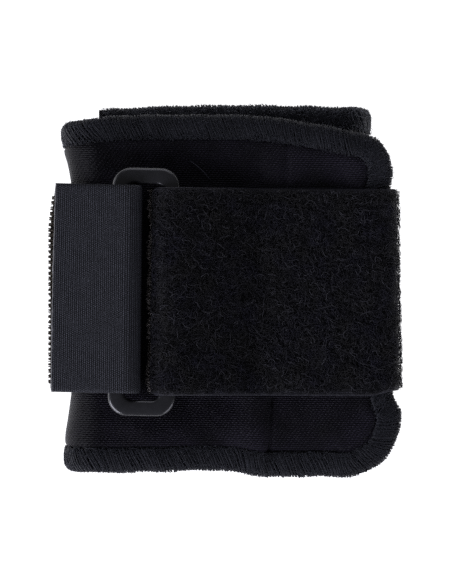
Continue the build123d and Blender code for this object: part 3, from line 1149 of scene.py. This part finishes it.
# ------------------------------------------------------------------ the hook tape
hook_low, hook_high = corners_mm("hook_strap")
tab_high = corners_mm("hook_tab")[1]
TAB_HEIGHT = tab_high[2] - HOOK / 2
BACK_HEIGHT = hook_low[2] + HOOK / 2
LOWER_HEIGHT = hook_high[2] - HOOK / 2
BEND = (TAB_HEIGHT - LOWER_HEIGHT) / 2
tab_u = float(tab_pivot @ along_strap)
BEND_X = tab_u - BEND
HOOK_LEFT = -42.3
side_radius = (LOWER_HEIGHT - BACK_HEIGHT) / 2 - 0.05
hook_route = Route(
    [(-11.5, BACK_HEIGHT), (HOOK_LEFT, BACK_HEIGHT), (HOOK_LEFT, LOWER_HEIGHT),
     (tab_u, LOWER_HEIGHT), (tab_u, TAB_HEIGHT), (-40.76, TAB_HEIGHT)],
    [side_radius, side_radius, BEND - 0.02, BEND - 0.02],
)
GROUND_LOW = -HOOK / 2
GROUND_HIGH = -0.12
lower_start = hook_route.where(lambda u, z: z > LOWER_HEIGHT - 0.05 and u > -31.0)
bend_middle = hook_route.where(lambda u, z: z > tab_pivot[2] - 0.9 and u > -23)


def hook_place(travel, across, above):
    """Place in space of a point on the hook tape."""
    return hook_route.place(travel, across, above, hook_skew)


def rib_height(travel, across):
    """Fine raised ribs across the woven back of the hook tape."""
    rib = 0.5 + 0.5 * np.cos(2 * pi * travel / 0.86)
    return 0.05 * rib * ease(STRAP / 2, STRAP / 2 - 0.5, np.abs(across))


def hook_ground(name, start, stop):
    """A stretch of the hook tape's woven ground: hooks side above, ribbed back below."""
    travel = np.linspace(start, stop, max(2, int((stop - start) / 0.12)))[:, None]
    share = np.linspace(-1, 1, 64)[None, :]
    across = STRAP / 2 * share
    middle = (GROUND_LOW + GROUND_HIGH) / 2
    half = (GROUND_HIGH - GROUND_LOW) / 2 * (1 - 0.35 * ease(0.985, 1.0, np.abs(share)))
    heights = (middle + half + 0 * travel, middle - half - rib_height(travel, across))
    piece = tape_mesh(name, hook_place, travel, across, heights, hook_back)
    piece.data.materials.append(hook_front)
    ends = np.array([tuple(polygon.vertices)[::2] for polygon in piece.data.polygons])
    hooks_side = (ends < len(piece.data.vertices) // 2).all(1)
    piece.data.polygons.foreach_set("material_index", hooks_side.astype(np.int32))
    return piece


def hook_rows(name, start, stop, seed):
    """Rows of small bent hooks, in lines that follow the tape."""
    draw = np.random.default_rng(seed)
    rows = np.arange(-22.6, 22.7, 1.3)
    travel = np.arange(start, stop, 0.42)
    travel, across = (grid.ravel() for grid in np.meshgrid(travel, rows))
    count = len(travel)
    travel = travel + 0.45 * (np.round(across / 1.3) % 2) + draw.normal(0, 0.06, count)
    across = across + draw.uniform(-0.44, 0.44, count)
    bend = np.linspace(0, 1, 6)[None, :]
    turn = np.clip(bend - 0.35, 0, 1) / 0.65 * radians(200)
    straight = np.minimum(bend / 0.35, 1) * 0.42
    size = draw.normal(0.76, 0.05, (count, 1))
    rise = GROUND_HIGH - 0.05 + (straight + 0.30 * np.sin(turn)) * size
    forward = 0.30 * (1 - np.cos(turn)) * size * np.sign(draw.uniform(-1, 1, (count, 1)))
    at = np.clip(travel[:, None] + forward, start, stop)
    paths = hook_place(at, across[:, None] + 0 * forward, rise)
    radius = np.array([0.12, 0.11, 0.11, 0.10, 0.095, 0.07])
    return threads(name, paths, radius, hook_fibre, floor=0.12)


hook_wrap = hook_ground("hook_tape_wrap", 0, lower_start)
hook_under = hook_ground("hook_tape_under", lower_start, bend_middle)
hook_free = hook_ground("hook_tape_tab", bend_middle, hook_route.length)
wrap_hooks = hook_rows("hooks_wrap", 0.6, lower_start, 91)
under_hooks = hook_rows("hooks_under", lower_start + 0.3, bend_middle - 3.4, 92)
free_hooks = hook_rows("hooks_tab", bend_middle + 3.4, hook_route.length - 0.4, 93)
hook_back_stitches = tape_stitches(
    "hook_back_stitches", hook_place, [(2.0, 0.45), (8.0, 0.45)], 0.2
)


def sealed_cut():
    """The heat-sealed bead along the cut end of the tab, coloured pale: a real bead with a painted
    highlight along the edge.
    """
    across = np.linspace(-STRAP / 2, STRAP / 2, 90)
    wobble = 0.05 * wave(across, 0 * across, 3.0, 95)
    path = hook_place(hook_route.length - 0.08 + wobble, across, -0.52)
    radius = 0.25 + 0.04 * wave(across, 0 * across, 2.0, 96)
    return threads("sealed_end", path[None], radius, sealed_bead_highlight, 6)


sealed_end = sealed_cut()


# ------------------------------------------------------------------ the ring
def ring_outline(half_width, half_length, radius, corner_steps, side_steps):
    """Points round a rounded rectangle, from the start of its first corner."""
    arcs = []
    for number, signs in enumerate([(1, 1), (-1, 1), (-1, -1), (1, -1)]):
        centre = np.array(signs) * (half_width - radius, half_length - radius)
        angles = number * pi / 2 + np.linspace(0, pi / 2, corner_steps)
        arcs.append(centre + radius * np.stack([np.cos(angles), np.sin(angles)], -1))
    points = []
    for number, arc in enumerate(arcs):
        share = np.linspace(0, 1, side_steps[number % 2] + 2)[1:-1, None]
        points += [arc, arc[-1] * (1 - share) + arcs[(number + 1) % 4][0] * share]
    return np.concatenate(points)


def ring_mesh():
    """The moulded ring: a bar of rounded section round its slot, with a faint parting line."""
    steps = (12, (6, 30))
    outer = ring_outline(8.0, 29.55, 4.5, *steps)
    inner = ring_outline(4.2, 25.7, 2.0, *steps)
    turn = np.linspace(0, 2 * pi, 36, endpoint=False)
    across, upward = (np.sign(v) * np.abs(v) ** (2 / 4.5) for v in (np.cos(turn), np.sin(turn)))
    across = across * (1 + 0.012 * ridge(np.sin(turn), 0.06))
    flat = (outer + inner)[:, None] / 2 + (outer - inner)[:, None] / 2 * across[None, :, None]
    crown = 0.22 * (1 - across ** 2) * np.sign(upward)
    height = ring_z + (1.28 * upward + crown)[None] + 0 * flat[..., 0]
    centre_u = ring_u - 6.1
    points = strap_space(centre_u + flat[..., 0], -0.6 + flat[..., 1], height)
    index = np.arange(height.size).reshape(height.shape)
    ahead = np.roll(index, -1, 0)
    faces = np.stack([index, np.roll(index, -1, 1), np.roll(ahead, -1, 1), ahead], -1)
    return add_mesh("ring", points, faces, ring_plastic)


ring = ring_mesh()


# ------------------------------------------------------------------ what each piece is and moves with
# Pieces, the CAD node that they stand for, their material slot and the body that they ride on.
# The bends of the hook tape ride on no one body.
ROLES = [
    ([outer_knit], "outer_knit_face", "knit_fabric", "wrap"),
    ([foam], "neoprene_core", "foam_rubber", "wrap"),
    ([lining], "lining_knit", "knit_fabric", "wrap"),
    ([edge_strands[0]], "overlock_edge", "edging_thread", "wrap"),
    ([end_strands], "overlock_inner_end", "edging_thread", "wrap"),
    ([edge_strands[1], edge_needle, end_needle, end_fluff, flap_seam, *edge_fluff], None,
     "edging_thread", "wrap"),
    ([panel_seam], "panel_seam_thread", "edging_thread", "wrap"),
    ([stray], None, "edging_thread", "wrap"),
    ([pile_tape], "pile_strap", "pile_tape", "wrap"),
    (pile_pieces, None, "pile_tape", "wrap"),
    ([loop_stitches], "ring_loop_stitching", "edging_thread", "wrap"),
    ([pile_back_stitches], "pile_anchor_stitching", "edging_thread", "wrap"),
    ([hook_wrap], "hook_strap", "hook_tape", "wrap"),
    ([wrap_hooks], None, "hook_tape", "wrap"),
    ([hook_back_stitches], "hook_anchor_stitching", "edging_thread", "wrap"),
    ([hook_under], "hook_strap_bend", "hook_tape", None),
    ([under_hooks], None, "hook_tape", None),
    ([hook_free], "hook_tab", "hook_tape", None),
    ([free_hooks, sealed_end], None, "hook_tape", "tab"),
    ([ring], "strap_ring", "ring_plastic", "ring"),
]
for pieces, node, slot, body in ROLES:
    for piece in pieces:
        if body:
            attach(piece, body)
        if node:
            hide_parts(node)

lift_start = strap_space(-31.0, 0, LOWER_HEIGHT) * MM
lift_end = strap_space(BEND_X - 1.5, 0, LOWER_HEIGHT) * MM
for piece in (hook_under, under_hooks):
    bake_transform(piece)
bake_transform(hook_free)


# ------------------------------------------------------------------ studio
def studio_floor():
    """A pale floor that glows a little, like a lit sweep."""
    side = 3000.0
    points = [(-side, -side, -0.05), (side, -side, -0.05), (side, side, -0.05), (-side, side, -0.05)]
    mesh = bpy.data.meshes.new("floor")
    mesh.from_pydata([tuple(value * MM for value in point) for point in points], [], [(0, 1, 2, 3)])
    floor = put("floor", mesh)
    material = bpy.data.materials.new("floor_white")
    material.use_nodes = True
    shader = material.node_tree.nodes["Principled BSDF"]
    set_inputs(shader, {
        "Base Color": (0.82, 0.82, 0.82, 1),
        "Roughness": 0.9,
        "Specular IOR Level": 0.1,
        "Emission Color": (1, 1, 1, 1),
        "Emission Strength": 1.0,
    })
    mesh.materials.append(material)


def soft_light(name, place, target, size, power):
    """A square soft light that faces a point."""
    data = bpy.data.lights.new(name, "AREA")
    data.shape = "RECTANGLE"
    data.size, data.size_y = size
    data.energy = power
    data.color = (0.93, 0.94, 1.08)
    lamp = put(name, data)
    lamp.location = place
    from_lamp = np.array(target) - np.array(place)
    flat = np.hypot(from_lamp[0], from_lamp[1])
    lamp.rotation_euler = (atan2(flat, -from_lamp[2]), 0, atan2(-from_lamp[0], from_lamp[1]))


def studio_light():
    """Low soft boxes at the corners, the strongest near and to the left, in dim surroundings."""
    for name, place, size, power in [
        ("box_near_left", (-0.70, -0.60, 0.42), (0.8, 0.5), 8.2),
        ("box_near_right", (0.68, -0.66, 0.42), (0.7, 0.5), 2.6),
        ("box_far", (0.10, 0.90, 0.50), (1.0, 0.5), 1.6),
        ("box_left", (-0.92, 0.25, 0.45), (0.6, 0.5), 0.8),
    ]:
        soft_light(name, place, (0, 0, 0.01), size, power)
    world = bpy.data.worlds.new("surround")
    world.use_nodes = True
    set_inputs(world.node_tree.nodes["Background"], {"Color": (1, 1, 1, 1), "Strength": 0.06})
    bpy.context.scene.world = world


def studio_camera():
    """Straight above the object, far enough away to see almost no perspective."""
    lens = 400.0
    sensor = 36.0
    view_width = 107.6
    view_height = 22.0
    data = bpy.data.cameras.new("camera")
    data.lens = lens
    data.sensor_fit = "HORIZONTAL"
    data.sensor_width = sensor
    data.clip_start = 0.01
    camera = put("camera", data)
    camera.location = (0.05 * MM, -0.19 * MM, (view_height + view_width * lens / sensor) * MM)
    bpy.context.scene.camera = camera


studio_floor()
studio_light()
studio_camera()
bpy.context.scene.view_settings.view_transform = "Standard"
bpy.context.scene.cycles.use_denoising = False
